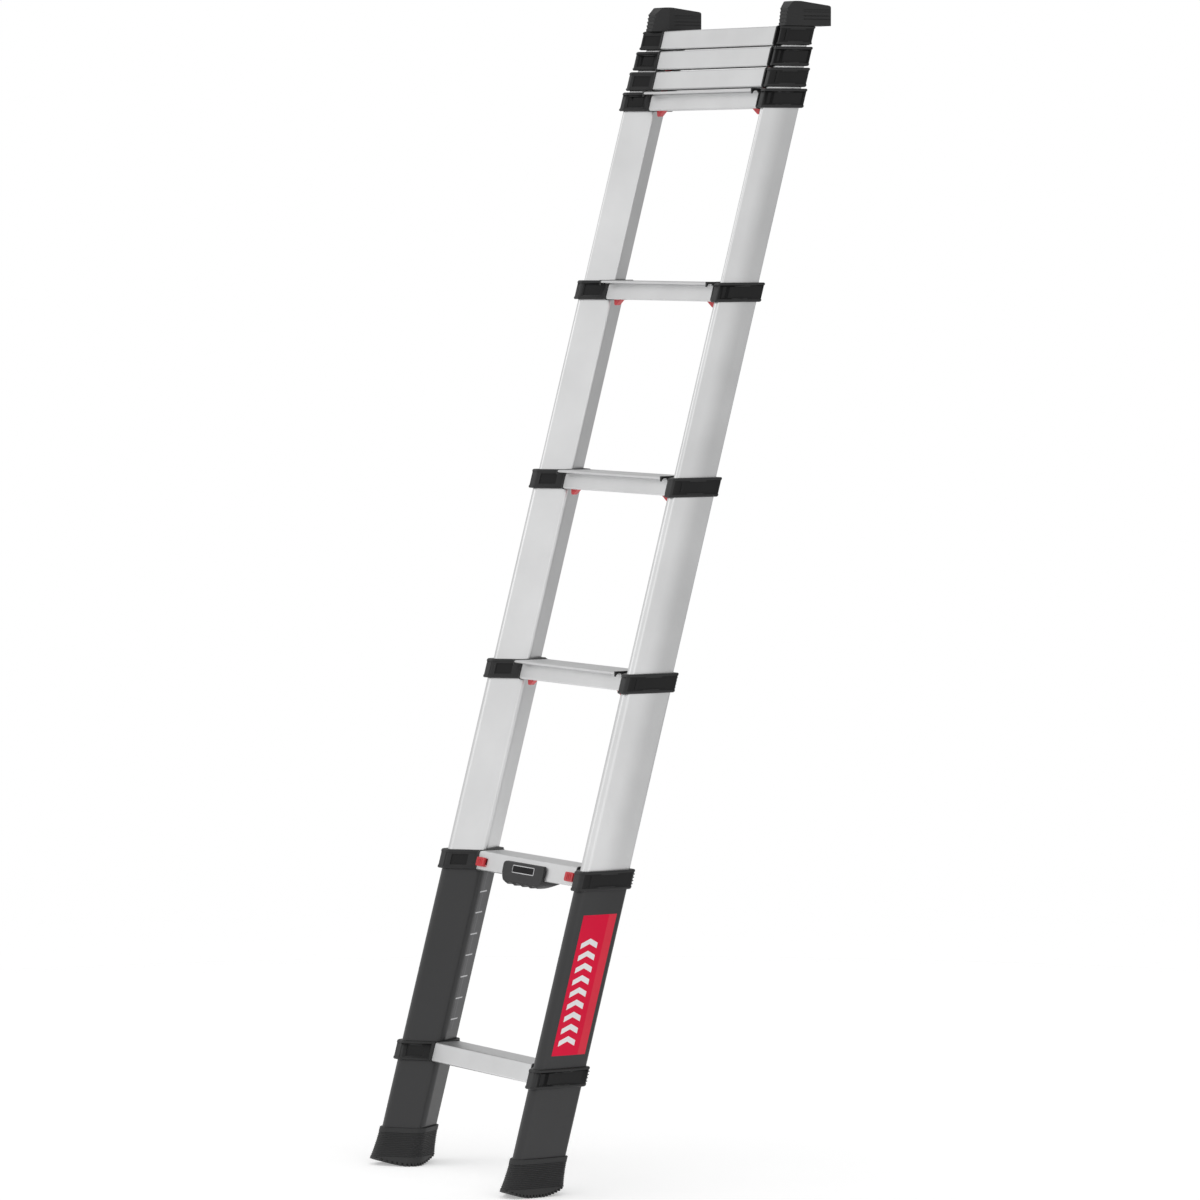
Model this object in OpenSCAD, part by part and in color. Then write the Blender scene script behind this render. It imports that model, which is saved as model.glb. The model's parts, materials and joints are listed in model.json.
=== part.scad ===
// Telescoping ladder, leaning back as it stands in use.
// X runs across the ladder, the climber stands on the -Y side, Z is up.
// The origin is on the floor, in the middle of the box that holds the whole ladder.

/* [Stance] */
// Lean of the rails from the vertical, degrees
lean = 15; // [10:1:20]
// Last section that is drawn pulled out; the ones above it rest collapsed
last_open = 5; // [1:1:8]

/* [Ladder] */
// Distance between rungs along the rails, pulled out
rung_pitch = 300; // [280:5:320]
// Distance between rungs along the rails, collapsed
closed_pitch = 32.5; // [32:0.5:40]
// Height of the lowest rung's top above the floor
first_rung = 188; // [160:2:220]
// Distance from the middle of the ladder to each rail axis
rail_offset = 187; // [177:2:221]

/* [Rails] */
// Width of the outermost rail, across the ladder
rail_width = 62; // [60:1:64]
// Depth of the outermost rail, front to back
rail_depth = 81; // [78:1:90]
// Width of the blunt front edge of the outermost rail
front_nose = 20; // [19:0.5:24]
// Width of the blunt back edge of the outermost rail
back_nose = 33; // [31:0.5:34]
// Wall thickness of every rail
wall = 1.5; // [1.2:0.1:1.5]
// How much each rail is smaller than the one around it, on every side
nest_step = 2.3; // [2.2:0.05:2.3]
// Length of rail that stays inside the rail below when pulled out
overlap = 55; // [45:5:70]

/* [Rungs and collars] */
// Height of rungs and collars
rung_height = 29; // [26:0.5:29]
// Depth of a rung, front to back
rung_depth = 44; // [40:1:50]
// Distance of a rung's front face in front of the rail axis
rung_front = 15; // [12:1:18]
// Wall thickness of a rung
rung_wall = 1.8; // [1.5:0.1:2.5]
// Half length of the lowest two rungs
rung_end = 150; // [140:1:150]
// How far a collar stands out round its rail
collar_proud = 5; // [4:0.5:6]
// Thickness of the flange round each rung end
flange = 3.5; // [2.5:0.5:4]
// Thickness of the tread plates
tread = 4; // [3:0.5:5]
// Overhang of the tread plates in front of their rungs
tread_overhang = 16; // [10:1:18]

/* [Locks] */
// Radius of the lock bolts
bolt_r = 4; // [3.5:0.5:4.5]
// How far a lock bolt draws back
bolt_travel = 4; // [3:0.5:5]
// How far a trigger stands out under its rung when its section is pulled out
trigger_out = 9; // [7:0.5:10]
// How far a trigger is pushed up when its section is collapsed
trigger_travel = 7; // [5:0.5:7]
// Travel of the red release buttons towards the middle
button_travel = 9; // [6:1:10]

/* [Feet and caps] */
// Height of the rubber feet
foot_height = 57; // [50:1:62]
// How far the feet flare out at the sole
sole_flare = 8.5; // [7:0.5:9]
// Radius of the rocker under the feet
rocker_r = 110; // [105:5:120]
// Height of the rubber wall pads above the top rung
cap_height = 37; // [32:1:42]
// How far the wall pads reach behind their collars
cap_nose = 29; // [20:1:36]

/* [Hidden] */
$fn = 48;
SIDES = ["left", "right"];
STILES = [for (n = [1:5], s = SIDES) str(s, "_stile_", n)];
BOLTS = [for (n = [3:8], s = SIDES) str(s, "_lock_bolt_", n)];

running = 0.4;      // gap between a part that slides and its guide
lip = 3;            // thickness of the collar top that closes round the next rail
bush_height = 24;   // height of the guide bush at the foot of an inner rail
bush_proud = 0.45;  // thickness of that bush outside the rail
tip_gap = 0.3;      // gap between a lock bolt's tip and the rail it locks
least_r = 1.5;      // smallest corner radius of any rail
nose_r = 12;        // radius of the outermost rail's two front corners and of its inboard corner
back_r = 6;         // radius of its outboard back corner
heel_r = 10;        // radius of its inboard back corner
side_r = 220;       // radius of the gently crowned outboard side
crown = 2.5;        // how much that side bulges
rise = tan(lean);   // Y gained by the rails for each unit of height
sole_depth = 27;    // length of rail axis taken up by the rubber under the rail
sole_land = 9;      // half depth of the flat land in the middle of each sole
sole_dip = 0.7;     // how far the rocker would reach under the floor if it were not cut flat
groove_pitch = 5.5; // spacing of the grooves across the sole
groove_depth = 3.2; // depth of those grooves
cap_proud = 4;      // how far the wall pads stand out round their rail
handle_half = 62;   // half length of the carry handle
black = "#2b2b2c";
silver = "#c4c6c8";
red = "#c8202c";

// Section n carries rung n + 1; section 1 also carries rung 1.
function section_of(rung) = max(1, rung - 1);

// Height of the top of a rung above the floor
function rung_z(rung) = rung == 1 ? first_rung
    : rung_z(rung - 1) + (section_of(rung) <= last_open ? rung_pitch : closed_pitch) * cos(lean);

// Height of the top of section n's collar
function top_z(n) = rung_z(n + 1);

// Half length of the rung that section n carries
function end_x(n) = rung_end + nest_step * (n - 1);

// How much smaller section n's rail is than the outermost, on each side
function inset_of(n) = nest_step * (n - 1);

// A side of an outline as [angle of its outward normal, distance from the axis]
function side_of(p, q) = let (n = [q.y - p.y, p.x - q.x] / norm(q - p)) [atan2(n.y, n.x), n * p];

// The point where two such sides meet
function meet(a, b) = let (turn = sin(b[0] - a[0]))
    [(a[1] * sin(b[0]) - b[1] * sin(a[0])) / turn, (b[1] * cos(a[0]) - a[1] * cos(b[0])) / turn];

// How far the direction turns from one side to another
function turn_of(a, b) = (b[0] - a[0] + 720) % 360;

// Whether side i still has any length once every side has moved in by inset
function lasts(sides, i, inset) = let (count = len(sides),
        a = sides[(i + count - 1) % count],
        b = sides[(i + 1) % count],
        tip = meet([a[0], a[1] - inset], [b[0], b[1] - inset]))
    turn_of(a, b) > 175 || tip * [cos(sides[i][0]), sin(sides[i][0])] > sides[i][1] - inset;

// A convex outline with its corners rounded, shrunk by inset on every side.
// A side that the shrinking uses up is left out, and its two neighbours then meet.
function rounded(corners, radii, inset) = let (count = len(corners),
        every = [for (i = [0:count - 1])
            concat(side_of(corners[i], corners[(i + 1) % count]), radii[(i + 1) % count])],
        sides = [for (i = [0:count - 1]) if (lasts(every, i, inset + least_r)) every[i]])
    [for (i = [0:len(sides) - 1])
        let (a = sides[i],
            b = sides[(i + 1) % len(sides)],
            turn = turn_of(a, b),
            r = max(a[2] - inset, least_r),
            centre = meet([a[0], a[1] - inset - r], [b[0], b[1] - inset - r]),
            steps = max(3, ceil(turn / 11)))
        for (k = [0:steps]) centre + r * [cos(a[0] + turn * k / steps), sin(a[0] + turn * k / steps)]];

// Corners of the outermost rail, outboard side at +x and climber's side at -y
rail_corners = [
    [rail_width / 2 - front_nose, -rail_depth / 2],
    [rail_width / 2 - crown, -rail_depth / 2],
    [rail_width / 2, 0],
    [rail_width / 2 - crown, rail_depth / 2],
    [rail_width / 2 - back_nose, rail_depth / 2],
    [-rail_width / 2, 0]
];
rail_radii = [nose_r, nose_r, side_r, back_r, heel_r, nose_r];
function rail_outline(inset) = rounded(rail_corners, rail_radii, inset);

// The same shape with tighter corners, for the mouldings round the rails
moulding_radii = [6, 5, side_r, 3, 5, 8];
function moulding_outline(inset) = rounded(rail_corners, moulding_radii, inset);

// X of the inboard corner of section n's rail, seen from its own axis
function apex_x(n) = min([for (p = rail_outline(inset_of(n))) p.x]);

// Outline of a rung in Y and Z, its top front edge at the rung's front face
function rung_corners(height) = [
    [-rung_front, 0],
    [-rung_front - rise * height, -height],
    [rung_depth - rung_front - rise * height, -height],
    [rung_depth - rung_front, 0]
];
function rung_outline(height, inset) = rounded(rung_corners(height), [3, 3, 3, 3], inset);

// Draws a right-hand part on the chosen side
module on_side(side) {
    if (side == "left") mirror([1, 0, 0]) translate([rail_offset, 0, 0]) children();
    else translate([rail_offset, 0, 0]) children();
}

// A plan shape extruded along the rail axis and cut level at both heights
module slanted(low, high) {
    intersection() {
        rotate([-lean, 0, 0]) translate([0, 0, low / cos(lean) - 60])
            linear_extrude((high - low) / cos(lean) + 120) children();
        translate([-150, low * rise - 150, low])
            cube([300, (high - low) * rise + 300, high - low]);
    }
}

// A shape drawn in Y and Z at a height on the rail axis, extruded across the ladder
module across(from, to, height) {
    translate([from, height * rise, height]) rotate([90, 0, 90]) linear_extrude(to - from) children();
}

// Moves the ladder so that the origin is in the middle of its footprint
module placed() {
    pad_back = top_z(8) * rise + pad_reach() + cap_nose;
    translate([0, (rail_depth / 2 + sole_flare - pad_back) / 2, 0]) children();
}

// Centre line of the lock bolts of section n: on the rail axis, at mid height of the rung
function bolt_z(n) = top_z(n) - rung_height / 2;
module bolt_hole(z, r, from, to) {
    translate([from, z * rise, z]) rotate([0, 90, 0]) cylinder(h = to - from, r = r);
}

// One rail of section n; its foot is cut square, its top level under the collar's lip
module rail(n) {
    start = n == 1 ? sole_depth : top_z(n) / cos(lean) - rung_pitch - overlap;
    top = top_z(n) - lip;
    difference() {
        intersection() {
            rotate([-lean, 0, 0]) translate([0, 0, start])
                linear_extrude(top / cos(lean) + 40 - start) difference() {
                    polygon(rail_outline(inset_of(n)));
                    polygon(rail_outline(inset_of(n) + wall));
                }
            translate([-100, -200, -50]) cube([200, 1000, top + 50]);
        }
        if (n < 8) bolt_hole(bolt_z(n), bolt_r + 0.6, apex_x(n) - 3, apex_x(n) + 9);
        if (n > 1) bolt_hole(bolt_z(n) - rung_pitch * cos(lean), bolt_r + 0.6, apex_x(n) - 3, apex_x(n) + 9);
    }
}

module stile(side, n) {
    color(n == 1 ? black : silver) on_side(side) rail(n);
}

module stile_pair(n) {
    color(silver) for (side = SIDES) on_side(side) rail(n);
}

// Rungs 1 and 2 are plain, rungs 3 to 6 are lower because a tread plate lies on them.
function has_tread(rung) = rung >= 3 && rung <= 6;
module rung(number) {
    n = section_of(number);
    height = has_tread(number) ? rung_height - tread : rung_height;
    z = rung_z(number) - (rung_height - height);
    x = end_x(n);
    color(silver) difference() {
        across(-x, x, z) polygon(rung_outline(height, 0));
        across(-x - 1, x + 1, z) polygon(rung_outline(height, rung_wall));
        if (number >= 3 && number <= 8) for (side = [-1, 1]) trigger_slot(side * (x - 18), rung_z(number));
        if (number == 2) for (side = [-1, 1]) button_slot(side * (x - 15), z);
    }
}

// Opening in the bottom of a rung for a trigger
module trigger_slot(x, z) {
    foot = z - rung_height;
    translate([x - 11, foot * rise - 4.6, foot - 1]) cube([22, 9.2, rung_wall + 2]);
}

// Opening in the front of rung 2 for the neck of a release button
module button_slot(x, z) {
    middle = z - rung_height / 2;
    shift = x > 0 ? -button_travel - 1 : 0;
    translate([x - 5 + shift, middle * rise - rung_front - 10, middle - 4.5])
        cube([10 + button_travel + 1, 10 + rung_wall + 6, 9]);
}

// The plate on rungs 3 to 6: ribbed on top, with a rolled lip in front
module tread_plate(number) {
    x = end_x(section_of(number)) - 0.4;
    back = rung_depth - rung_front - 1;
    front = -rung_front - tread_overhang;
    color(silver) across(-x, x, rung_z(number)) difference() {
        union() {
            translate([front + 2, -2]) circle(2);
            translate([front + 2, -tread / 1.4]) square([tread_overhang + 2, tread / 1.4]);
            translate([-rung_front, -tread]) square([back + rung_front - 2, tread]);
            translate([back - 2, -2]) circle(2);
        }
        for (y = [front + 7 : 5 : back - 4]) translate([y, 0]) circle(0.6, $fn = 16);
    }
}

// Right-hand collar of section n with its top at the given height.
// open_top lets the next rail through; the lower collar of section 1 only grips the rail.
module collar(n, top, open_top, number) {
    low = top - rung_height;
    grip = inset_of(n) - collar_proud;
    face = end_x(n) - rail_offset;
    difference() {
        union() {
            slanted(low, top) polygon(moulding_outline(grip + 0.7));
            for (z = [low, top - 4]) slanted(z, z + 4) polygon(moulding_outline(grip));
            across(face, apex_x(n) + 4, top) polygon(rung_outline(rung_height, 1));
            across(face, face + flange, top) polygon(rung_outline(rung_height, -1));
            if (has_tread(number)) tread_hook(face, top);
        }
        if (open_top) {
            slanted(low - 5, top - lip) polygon(rail_outline(inset_of(n)));
            slanted(top - lip - 1, top + 5) polygon(rail_outline(inset_of(n + 1) - running));
            bolt_hole(top - rung_height / 2, bolt_r + running, face - 1, apex_x(n) + 6);
        } else {
            slanted(low - 5, n == 8 ? top - lip : top + 5) polygon(rail_outline(inset_of(n)));
        }
        outer_panel(grip, low);
        front_panel(grip, low);
    }
}

// Long shallow panel on the outboard side, with a short one ahead of it
module outer_panel(grip, low) {
    outer = rail_width / 2 - grip;
    reach = rail_depth / 2 - grip;
    slanted(low + 6, low + rung_height - 6) {
        translate([outer - 2.6, -reach * 0.52]) square([9, reach * 1.32]);
        translate([outer - 3, -reach * 0.8]) square([9, reach * 0.17]);
    }
}

// Shallow panel on the inboard side towards the climber
module front_panel(grip, low) {
    slope = side_of(rail_corners[5], rail_corners[0]);
    depth = slope[1] - grip;
    slanted(low + 8, low + rung_height - 8)
        rotate(slope[0]) translate([depth - 1.9, 6]) square([8, 16]);
}

// Hooked end of the flange that wraps the end of a tread plate
module tread_hook(face, top) {
    across(face, face + flange, top) difference() {
        translate([-rung_front - tread_overhang, -tread - 3]) square([tread_overhang + 3, tread + 3.8]);
        translate([-rung_front - tread_overhang / 2 - 1, -tread - 4]) circle(6);
    }
}

// Guide bush at the foot of an inner rail, a thin sleeve that runs in the rail around it
module bush(n) {
    start = top_z(n) / cos(lean) - rung_pitch - overlap;
    rotate([-lean, 0, 0]) translate([0, 0, start]) linear_extrude(bush_height) difference() {
        polygon(rail_outline(inset_of(n) - bush_proud));
        polygon(rail_outline(inset_of(n)));
    }
}

// Both collars of one rung; above rung 2 the node also holds the two bushes of that section
module collars(number) {
    n = section_of(number);
    color(black) for (side = SIDES) on_side(side) {
        collar(n, rung_z(number), number > 1 && n < 8, number);
        if (number > 2) bush(n);
    }
}

// Height of a trigger above its pulled-out place, as drawn
function trigger_lift(n) = n <= last_open ? 0 : trigger_travel;

// Both triggers of one rung: a nose with a sloping inboard flank, on a foot inside the rung
module triggers(number) {
    n = section_of(number);
    z = rung_z(number) - rung_height;
    color(red) for (side = [0, 1]) mirror([side, 0, 0])
        translate([end_x(n), z * rise + 4, z + trigger_lift(n)]) rotate([90, 0, 0]) linear_extrude(8)
            polygon([[-8, 2.5], [-28, 2.5], [-28, 0], [-14, -trigger_out + 0.6], [-12.5, -trigger_out],
                [-10, -trigger_out], [-8.4, -trigger_out + 1.6], [-8, -trigger_out + 3]]);
}

// How far a lock bolt is drawn back, as drawn
function bolt_back(n) = n <= last_open ? 0 : bolt_travel;

// Right-hand lock bolt of section n: a steel pin with a head that the trigger's ramp pushes
module lock_bolt(side, number) {
    n = section_of(number);
    z = bolt_z(n);
    tip = apex_x(n + 1) - tip_gap - bolt_back(n);
    head = end_x(n) - rail_offset - 30 - bolt_back(n);
    color(silver) on_side(side) union() {
        bolt_hole(z, bolt_r, head, tip - 1);
        bolt_hole(z, bolt_r - 1, tip - 1.5, tip);
        difference() {
            translate([head - 6, z * rise - 5.5, z - 6]) cube([7, 11, 12]);
            translate([head + 1, z * rise - 6, z - 6]) rotate([0, 45, 0]) cube([5, 12, 5], center = false);
        }
    }
}

// Red button on the front of rung 2, in one piece with the slide and bolt that hold section 2
module release_button(side) {
    z = bolt_z(1);
    face = end_x(1) - rail_offset;
    front = z * rise - rung_front;
    color(red) on_side(side) union() {
        translate([face - 26, front - 5.7, z - 7]) rotate([-lean, 0, 0]) button_cap();
        translate([face - 19, front - 3.4, z - 3.8]) cube([8, rung_wall + 8.4, 7.6]);
        translate([face - 27, z * rise - 10, z - 6]) cube([22, 16, 12]);
        bolt_hole(z, bolt_r, face - 6, apex_x(2) - tip_gap);
    }
}

// Rounded rectangle with three raised grip bars
module button_cap() {
    rotate([90, 0, 0]) translate([0, 0, -3.6]) linear_extrude(3.6)
        polygon(rounded([[0, 0], [24, 0], [24, 14], [0, 14]], [3, 3, 3, 3], 0));
    for (x = [6.5, 11.5, 16.5]) translate([x, -0.6, 2.5]) cube([1.6, 2, 9]);
}

// Moulded grip under the middle of rung 2: a front plate and a boat-shaped belly under the rung
module carry_handle() {
    foot = -rung_height;
    skew = rise * rung_height;
    belly = foot - 13;
    front = -rung_front - skew;
    color(black) difference() {
        intersection() {
            across(-handle_half, handle_half, rung_z(2)) {
                polygon([
                    [-rung_front - 3.5 - rise * 7, -7],
                    [-rung_front - 5 - rise * 8, -8.5],
                    [front - 5.5, foot - 6],
                    [front - 2, belly],
                    [front + 12, belly],
                    [front + rung_depth - 5, foot - 3],
                    [front + rung_depth - 3, foot - 0.1],
                    [front - 0.1, foot - 0.1],
                    [-rung_front - 0.1 - rise * 7, -7]]);
            }
            translate([0, rung_z(2) * rise + 100, rung_z(2)]) rotate([90, 0, 0]) linear_extrude(200)
                polygon(rounded([[-handle_half, belly], [handle_half, belly], [handle_half, -7],
                    [-handle_half, -7]], [13, 13, 6, 6], 0));
        }
        for (x = [-36, -12, 12, 36])
            translate([x, rung_z(2) * rise - rung_front - skew, rung_z(2) + belly - 14])
                rotate([70, 0, 0]) cylinder(h = 60, r = 16, center = true);
    }
}

// Height of the sole's rocker above the floor at a distance from the rail axis
function rocker_z(y) = max(rocker_r - sole_dip - sqrt(pow(rocker_r, 2) - pow(y, 2)), 0);

// Rubber boot on the outermost rail: it flares towards a curved, cross-grooved sole
module foot(side) {
    flare = [[0, 10, sole_flare], [10, 20, 7.4], [20, 32, 5.6], [32, 44, 4.4], [44, foot_height, 3.5]];
    grooves = [sole_land + 1.5 : groove_pitch : rail_depth / 2 + 6];
    color(black) on_side(side) difference() {
        intersection() {
            for (step = flare) slanted(step[0], step[1]) polygon(rail_outline(-step[2]));
            translate([-60, 0, rocker_r - sole_dip]) rotate([0, 90, 0]) cylinder(h = 120, r = rocker_r, $fn = 180);
        }
        rotate([-lean, 0, 0]) translate([0, 0, sole_depth]) linear_extrude(80) polygon(rail_outline(0));
        for (y = grooves, way = [-1, 1])
            translate([-60, way * y - 1.1, -1]) cube([120, 2.2, 1 + rocker_z(y) + groove_depth]);
    }
}

// How far a wall pad reaches in front of its rail axis, and behind it without its nose
function pad_reach() = rail_depth / 2 - inset_of(8) + cap_proud;

// Rubber pad that rests on the wall: domed top, reaching back past its collar
module wall_pad(side) {
    top = top_z(8);
    reach = pad_reach();
    back = reach + cap_nose;
    outer = rail_width / 2 - inset_of(8) + cap_proud;
    inner = apex_x(8) - cap_proud;
    color(black) on_side(side) difference() {
        intersection() {
            translate([0, top * rise, top]) linear_extrude(cap_height) polygon(rounded([
                [outer - 16, -reach], [outer, -reach], [outer, back], [inner, back], [inner, -2]],
                [6, 7, 3, 3, 6], 0));
            across(inner - 1, outer + 1, top) polygon(rounded([
                [-reach, 0],
                [back, 0],
                [back, cap_height - 7],
                [reach * 0.1, cap_height],
                [-reach * 0.5, cap_height],
                [-reach, cap_height - 10]], [least_r, least_r, 6, 40, 16, 8], 0));
        }
        for (slot = [[9, 1.6], [14, 1.6], [20, 5]]) for (x = [inner - 1, outer - 1.6])
            across(x, x + 2.6, top) translate([8, slot[0]]) square([back, slot[1]]);
    }
}

for (n = [1:5], side = SIDES) placed() stile(side, n);
for (n = [6:8]) placed() stile_pair(n);
for (n = [1:9]) placed() rung(n);
for (n = [1:9]) placed() collars(n);
for (n = [3:6]) placed() tread_plate(n);
for (n = [3:8]) placed() triggers(n);
for (n = [3:8], side = SIDES)
    placed() lock_bolt(side, n);
for (side = SIDES) placed() release_button(side);
placed() carry_handle();
for (side = SIDES) placed() foot(side);
for (side = SIDES) placed() wall_pad(side);
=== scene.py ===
import json
import math

import bmesh
import bpy
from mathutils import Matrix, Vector


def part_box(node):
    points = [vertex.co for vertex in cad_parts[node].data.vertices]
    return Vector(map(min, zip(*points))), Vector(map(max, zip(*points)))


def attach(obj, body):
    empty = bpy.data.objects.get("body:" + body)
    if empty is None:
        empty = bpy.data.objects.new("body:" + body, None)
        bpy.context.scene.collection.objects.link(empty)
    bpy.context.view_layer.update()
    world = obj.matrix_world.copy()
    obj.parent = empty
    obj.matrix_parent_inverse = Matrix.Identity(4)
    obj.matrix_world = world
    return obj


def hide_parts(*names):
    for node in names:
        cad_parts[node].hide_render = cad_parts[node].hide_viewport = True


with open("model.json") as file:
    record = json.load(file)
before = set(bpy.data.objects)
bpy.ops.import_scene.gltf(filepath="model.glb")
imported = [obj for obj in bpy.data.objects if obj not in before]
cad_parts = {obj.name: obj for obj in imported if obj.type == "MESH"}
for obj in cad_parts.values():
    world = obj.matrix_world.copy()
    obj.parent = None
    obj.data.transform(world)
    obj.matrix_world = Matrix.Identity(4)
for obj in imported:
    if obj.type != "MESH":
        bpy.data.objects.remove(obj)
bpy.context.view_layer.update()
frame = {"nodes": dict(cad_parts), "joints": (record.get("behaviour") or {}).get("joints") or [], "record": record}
nodes = frame["nodes"]
soles = {mount["name"].removesuffix("_sole"): Vector(mount["pos_m"])
         for mount in frame["record"]["mounts"] if mount["name"].endswith("_sole")}

# ---------------------------------------------------------------- camera and studio
# The viewer stands ten metres off, to the climber's right, at about the height of a
# person's eyes, with a long lens. The ladder stands alone on a pale seamless floor.
view_azimuth = math.radians(60)
view_elevation = math.radians(3.3)
view_distance = 10.202
aim = Vector((0.0026, soles["right"].y + 0.2367, 0.8657))
back = Vector((
    math.sin(view_azimuth) * math.cos(view_elevation),
    -math.cos(view_azimuth) * math.cos(view_elevation),
    math.sin(view_elevation),
))
camera_data = bpy.data.cameras.new("camera")
camera_data.sensor_width = 36
camera_data.lens = 202.1
camera_data.clip_end = 100
camera = bpy.data.objects.new("camera", camera_data)
bpy.context.scene.collection.objects.link(camera)
camera.location = aim + back * view_distance
camera.rotation_mode = "QUATERNION"
camera.rotation_quaternion = (-back).to_track_quat("-Z", "Y")
bpy.context.scene.camera = camera
bpy.context.scene.view_settings.view_transform = "Standard"

studio_floor = bmesh.new()
bmesh.ops.create_grid(studio_floor, x_segments=2, y_segments=2, size=12)
floor_mesh = bpy.data.meshes.new("studio_floor")
studio_floor.to_mesh(floor_mesh)
studio_floor.free()
floor = bpy.data.objects.new("studio_floor", floor_mesh)
floor.location.z = -0.0005
bpy.context.scene.collection.objects.link(floor)

# The floor is matt white round the feet and fades out into the white room further off.
floor_paint = bpy.data.materials.new("studio_floor")
floor_paint.use_nodes = True
tree = floor_paint.node_tree
paint = tree.nodes["Principled BSDF"]
paint.inputs["Base Color"].default_value = (0.93, 0.93, 0.93, 1)
paint.inputs["Roughness"].default_value = 0.95
paint.inputs["Specular IOR Level"].default_value = 0.1
paint.inputs["Emission Color"].default_value = (1, 1, 1, 1)
paint.inputs["Emission Strength"].default_value = 0.34
spot = tree.nodes.new("ShaderNodeTexCoord")
reach = tree.nodes.new("ShaderNodeVectorMath")
reach.operation = "LENGTH"
fade = tree.nodes.new("ShaderNodeMapRange")
fade.interpolation_type = "SMOOTHSTEP"
fade.inputs["From Min"].default_value = 0.7
fade.inputs["From Max"].default_value = 4.0
clear = tree.nodes.new("ShaderNodeBsdfTransparent")
mix = tree.nodes.new("ShaderNodeMixShader")
tree.links.new(spot.outputs["Object"], reach.inputs[0])
tree.links.new(reach.outputs["Value"], fade.inputs["Value"])
tree.links.new(fade.outputs["Result"], mix.inputs["Fac"])
tree.links.new(paint.outputs[0], mix.inputs[1])
tree.links.new(clear.outputs[0], mix.inputs[2])
tree.links.new(mix.outputs[0], tree.nodes["Material Output"].inputs["Surface"])
floor_mesh.materials.append(floor_paint)

# The room is white to look at. In reflections it runs from bright in front of the ladder
# to grey behind it, so that the facets of the rails part from each other.
world = bpy.data.worlds.new("studio")
bpy.context.scene.world = world
world.use_nodes = True
sky = world.node_tree
sky.nodes.clear()
direction = sky.nodes.new("ShaderNodeTexCoord")
split = sky.nodes.new("ShaderNodeSeparateXYZ")
bearing = sky.nodes.new("ShaderNodeMath")
bearing.operation = "ARCTAN2"
turns = sky.nodes.new("ShaderNodeMath")
turns.operation = "MULTIPLY_ADD"
turns.inputs[1].default_value = 0.5 / math.pi
turns.inputs[2].default_value = 0.5
tones = sky.nodes.new("ShaderNodeValToRGB")
walls = ((-180, 0.7), (-150, 0.86), (-110, 0.86), (-61, 0.98), (-25, 0.92), (5, 1.0),
         (20, 1.08), (42, 0.42), (75, 0.38), (110, 0.52), (150, 0.6), (180, 0.7))
stops = tones.color_ramp.elements
while len(stops) < len(walls):
    stops.new(0.5)
for stop, (angle, light) in zip(stops, walls):
    stop.position = angle / 360 + 0.5
    stop.color = (light, light, light, 1)
glow = sky.nodes.new("ShaderNodeBackground")
glow.inputs["Strength"].default_value = 0.93
plain = sky.nodes.new("ShaderNodeBackground")
plain.inputs["Color"].default_value = (1, 1, 1, 1)
seen = sky.nodes.new("ShaderNodeLightPath")
choose = sky.nodes.new("ShaderNodeMixShader")
sky_out = sky.nodes.new("ShaderNodeOutputWorld")
sky.links.new(direction.outputs["Generated"], split.inputs[0])
sky.links.new(split.outputs["Y"], bearing.inputs[0])
sky.links.new(split.outputs["X"], bearing.inputs[1])
sky.links.new(bearing.outputs[0], turns.inputs[0])
sky.links.new(turns.outputs[0], tones.inputs["Fac"])
sky.links.new(tones.outputs["Color"], glow.inputs["Color"])
sky.links.new(seen.outputs["Is Camera Ray"], choose.inputs["Fac"])
sky.links.new(glow.outputs[0], choose.inputs[1])
sky.links.new(plain.outputs[0], choose.inputs[2])
sky.links.new(choose.outputs[0], sky_out.inputs["Surface"])

lamp_target = Vector((0, 0, 0.9))
for name, place, size, power in (
    ("key_light", (-1.6, -4.2, 3.6), 3.2, 22),
    ("side_light", (5.5, -1.0, 2.4), 3.0, 8),
    ("rim_light", (2.2, 4.6, 3.0), 2.4, 14),
):
    lamp_data = bpy.data.lights.new(name, "AREA")
    lamp_data.size = size
    lamp_data.energy = power
    lamp = bpy.data.objects.new(name, lamp_data)
    lamp.location = place
    lamp.rotation_mode = "QUATERNION"
    lamp.rotation_quaternion = (lamp_target - Vector(place)).to_track_quat("-Z", "Y")
    bpy.context.scene.collection.objects.link(lamp)

# ---------------------------------------------------------------- inner rails
# Thin-walled aluminium extrusions of rounded triangular section, each nested in the next.
# Their section is drawn once, shrunk for each size, pulled out along the lean and bored
# for the lock bolts. Clear anodising leaves a satin skin with faint drawing lines.
rail_joint = next(joint for joint in frame["joints"] if joint["name"] == "section_2_slide")
along = Vector(rail_joint["axis"]).normalized()
lean = math.atan2(along.y, along.z)
across = Vector((0, math.cos(lean), -math.sin(lean)))
rise = math.tan(lean)
section_count = 8
last_single_rail = 5
rail_width = 0.062
rail_depth = 0.081
front_nose = 0.020
back_nose = 0.033
crown = 0.0025
wall = 0.0015
nest_step = 0.0023
rung_pitch = 0.300
overlap = 0.055
collar_lip = 0.003
sole_depth = 0.027
bolt_bore = 0.0046
bore_past_skin = (0.009, 0.003)
least_radius = 0.0015
nearly_parallel = 0.09
rung_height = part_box("rung_1")[1].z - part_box("rung_1")[0].z
rail_corners = [
    (rail_width / 2 - front_nose, -rail_depth / 2),
    (rail_width / 2 - crown, -rail_depth / 2),
    (rail_width / 2, 0),
    (rail_width / 2 - crown, rail_depth / 2),
    (rail_width / 2 - back_nose, rail_depth / 2),
    (-rail_width / 2, 0),
]
rail_radii = [0.012, 0.012, 0.220, 0.006, 0.010, 0.012]


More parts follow.
